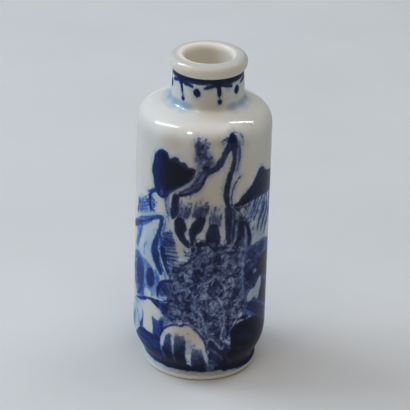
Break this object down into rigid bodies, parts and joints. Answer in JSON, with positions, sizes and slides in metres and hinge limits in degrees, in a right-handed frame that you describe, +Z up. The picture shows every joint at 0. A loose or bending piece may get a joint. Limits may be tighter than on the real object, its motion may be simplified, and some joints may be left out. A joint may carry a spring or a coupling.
{
  "type": "snuff bottle",
  "caption": "Slim cylindrical porcelain snuff bottle with a sloping shoulder, short neck with rolled lip, recessed foot ring and blue landscape painting.",
  "frame": {"origin": "under the centre of the cylindrical wall, on the surface that the foot ring stands on", "axes": "+Z up along the bottle towards its mouth, -Y towards the painted front, +X to the front's right"},
  "size_m": [0.0282, 0.0282, 0.07],
  "materials": {
    "porcelain": "clear glossy glaze over bluish-white porcelain, with a landscape painted in cobalt blue round the wall and a bare fired foot rim"
  },
  "bodies": {
    "root": {"bottle": "porcelain"}
  },
  "joints": []
}
